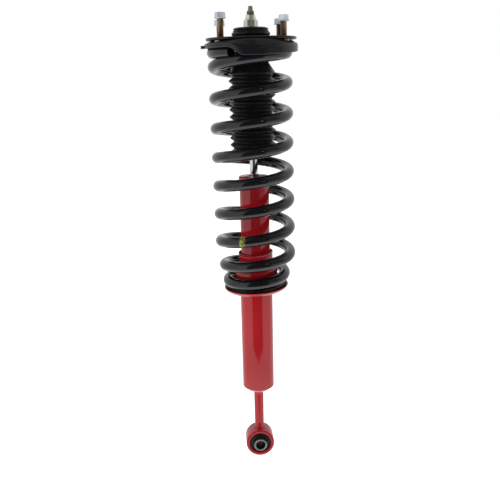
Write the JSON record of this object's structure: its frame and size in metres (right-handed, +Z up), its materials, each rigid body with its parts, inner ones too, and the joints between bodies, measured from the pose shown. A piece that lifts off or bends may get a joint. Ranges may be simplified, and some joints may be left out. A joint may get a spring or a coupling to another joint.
{
  "type": "suspension strut assembly",
  "caption": "Coil-over suspension strut: studded rubber top mount, black coil spring with dust boot, red telescopic damper and rubber-bushed lower eye.",
  "frame": {"origin": "centre of the top mount plate, on its upper face, on the damper centre line", "axes": "+Z up the damper centre line towards the rod end; X is the long way of the stud rectangle, with the small locating tab of the upper spring seat at -X; the lower eye's bolt axis is parallel to Y and the end shown in front faces -Y"},
  "size_m": [0.1505, 0.145, 0.7623],
  "materials": {
    "black_paint": "gloss",
    "spring_paint": "gloss",
    "rubber": "matt",
    "bump_foam": "matt foam",
    "red_paint": "gloss",
    "chrome": "polished",
    "zinc": "blue-white zinc plate",
    "yellow_zinc": "yellow zinc plate",
    "machined_steel": "machined",
    "piston_plastic": "matt"
  },
  "bodies": {
    "mount_and_rod": {"top_mount_plate": "black_paint", "mount_stud_1": "yellow_zinc", "mount_stud_2": "yellow_zinc", "mount_stud_3": "yellow_zinc", "mount_stud_4": "yellow_zinc", "stud_nut_1": "zinc", "stud_nut_2": "zinc", "stud_nut_3": "zinc", "stud_nut_4": "zinc", "rod_lock_nut": "zinc", "upper_washer": "black_paint", "upper_cushion": "rubber", "spacer_sleeve": "zinc", "lower_cushion": "rubber", "lower_washer": "black_paint", "upper_spring_seat": "black_paint", "upper_spring_pad": "rubber", "coil_spring": "spring_paint", "bump_stop_cup": "black_paint", "bump_stop": "bump_foam", "dust_boot": "rubber", "piston_rod": "chrome", "rebound_stop": "piston_plastic", "rebound_shims": "zinc", "piston": "machined_steel", "piston_band": "piston_plastic", "compression_shims": "zinc", "piston_nut": "machined_steel"},
    "damper": {"damper_tube": "red_paint", "tube_end_cap": "red_paint", "rod_seal": "rubber", "rod_guide": "machined_steel", "pressure_cylinder": "machined_steel", "foot_valve": "machined_steel", "base_cap": "red_paint", "lower_spring_seat": "red_paint", "lower_spring_pad": "rubber", "lower_stem": "red_paint", "eye_ring": "red_paint", "eye_rubber_bush": "rubber"},
    "bush_sleeve": {"eye_sleeve": "zinc"}
  },
  "joints": [
    {"name": "strut_stroke", "type": "slide", "parent": "mount_and_rod", "child": "damper", "axis": [0, 0, 1], "range_m": [0, 0.1135], "stiffness_N_per_m": 60000, "springref_m": -0.02, "deforming": ["coil_spring"]},
    {"name": "bush_twist", "type": "hinge", "parent": "damper", "child": "bush_sleeve", "pos_m": [0, 0, -0.6914], "axis": [0, 1, 0], "range_deg": [-20, 20], "stiffness_Nm_per_rad": 40}
  ]
}
